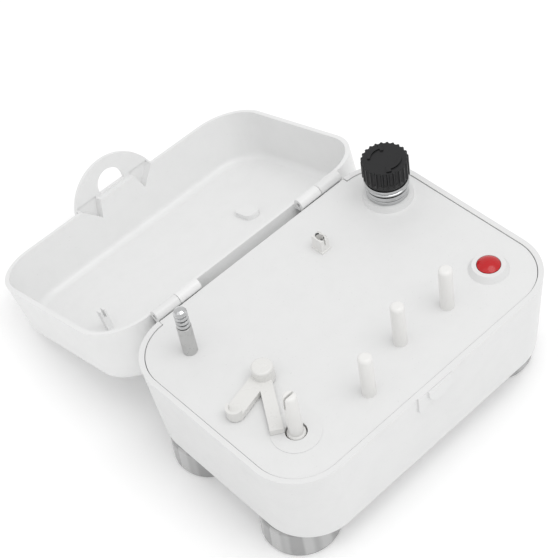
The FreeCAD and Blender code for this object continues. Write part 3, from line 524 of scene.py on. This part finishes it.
# %% A coiled spring
def coil(name, node, turns, wire, steps=18, sides=8):
    """A spring that fills the box of a CAD node; wire is its wire's radius, steps are per turn."""
    low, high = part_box(node)
    centre = (low + high) / 2
    radius = (high.x - low.x) / 2 - wire
    climb = (high.z - low.z - 2 * wire) / (turns * steps)
    mesh = bmesh.new()
    start = Matrix.Translation((centre.x + radius, centre.y, low.z + wire))
    quarter = Matrix.Rotation(math.pi / 2, 4, "X")
    made = bmesh.ops.create_circle(mesh, segments=sides, radius=wire, matrix=start @ quarter)
    ring = made["verts"] + list(mesh.edges)
    bmesh.ops.spin(mesh, geom=ring, cent=centre, axis=(0, 0, 1), dvec=(0, 0, climb),
                   angle=2 * math.pi * turns, steps=turns * steps)
    bmesh.ops.holes_fill(mesh, edges=mesh.edges, sides=sides)
    bmesh.ops.recalc_face_normals(mesh, faces=mesh.faces)
    for face in mesh.faces:
        face.smooth = len(face.verts) == 4
    data = bpy.data.meshes.new(name)
    mesh.to_mesh(data)
    wound = bpy.data.objects.new(name, data)
    bpy.context.collection.objects.link(wound)
    return wound


return_spring = coil("button_return_spring", "button_spring", turns=4, wire=0.00028)
return_spring.data.materials.append(plain_steel.material)
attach(return_spring, "case")
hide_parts("button_spring")
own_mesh(return_spring)
print("spring wound with", len(return_spring.data.polygons), "faces")

# %% [markdown]
# ## The table
# The winder stands on a wide light table: a pale sheet that glows a little, so that it throws
# light up at the walls and nearly washes out the shadow.  A plain white floor would do as well if
# the lamps were stronger, but then the white case would lose its own shading first.

# %% Table
floor_half = 4.0
floor_mesh = bmesh.new()
bmesh.ops.create_grid(floor_mesh, x_segments=8, y_segments=8, size=floor_half)
floor_data = bpy.data.meshes.new("floor")
floor_mesh.to_mesh(floor_data)
floor = bpy.data.objects.new("floor", floor_data)
bpy.context.collection.objects.link(floor)

paper = Finish("paper")
mottle = paper.noise(0.003, detail=4.0)
paper.set(
    Base_Color=paper.mix(mottle, grey(0.93), grey(0.95)),
    Roughness=0.9,
    Emission_Color=grey(1.0),
    Emission_Strength=0.10,
)
floor_data.materials.append(paper.material)
print("the table is", 2 * floor_half, "metres across")

# %% [markdown]
# ## The light
# A white sky gives most of the flat light of a catalogue.  A big soft lamp hangs high up and a
# little to the right, and gives the pieces on the deck their soft shadows.  A weaker one to the
# left fills those in.

# %% Sky and lamps
world = bpy.data.worlds.new("studio")
world.use_nodes = True
world.node_tree.nodes["Background"].inputs["Color"].default_value = (1.0, 1.0, 1.0, 1.0)
world.node_tree.nodes["Background"].inputs["Strength"].default_value = 0.80
bpy.context.scene.world = world


def lamp(name, spot, aim, width, power):
    """A round soft lamp; width is its diameter in metres and power is in watts."""
    data = bpy.data.lights.new(name, "AREA")
    data.shape = "DISK"
    data.size = width
    data.energy = power
    made = bpy.data.objects.new(name, data)
    made.location = spot
    made.rotation_mode = "QUATERNION"
    made.rotation_quaternion = (Vector(aim) - Vector(spot)).to_track_quat("-Z", "Y")
    bpy.context.collection.objects.link(made)
    return made


case_middle = (0.0, 0.0, 0.04)
key = lamp("key", spot=(0.15, -0.45, 1.15), aim=case_middle, width=0.9, power=4.2)
fill = lamp("fill", spot=(-0.5, -0.1, 1.1), aim=case_middle, width=0.9, power=0.8)
bpy.context.scene.view_settings.view_transform = "Standard"
print("lamps, in watts:", round(key.data.energy, 1), "and", round(fill.data.energy, 1))

# %% [markdown]
# ## The camera
# The camera stands at the front left corner of the case, about 60 cm away, and looks down at it
# by 48 degrees.  Its head is tilted a little, which is why the case seems to lean.  The way it
# faces is given by three unit vectors, to its right, up and back, because those three are the
# columns of its turn.

# %% Camera
camera_data = bpy.data.cameras.new("camera")
camera_data.sensor_width = 36.0
camera_data.lens = 94.11
camera_data.clip_start = 0.01
camera = bpy.data.objects.new("camera", camera_data)
bpy.context.collection.objects.link(camera)
right = Vector((0.72458, -0.67708, -0.12859))
up = Vector((0.57587, 0.49231, 0.65268))
back = Vector((-0.37861, -0.54698, 0.74664))
spot = Vector((-0.22261, -0.33858, 0.48534))
turn = Matrix((right, up, back)).transposed()
camera.matrix_world = Matrix.Translation(spot) @ turn.to_4x4()
bpy.context.scene.camera = camera
print("camera distance, m:", round((spot - Vector(case_middle)).length, 2))

# %% [markdown]
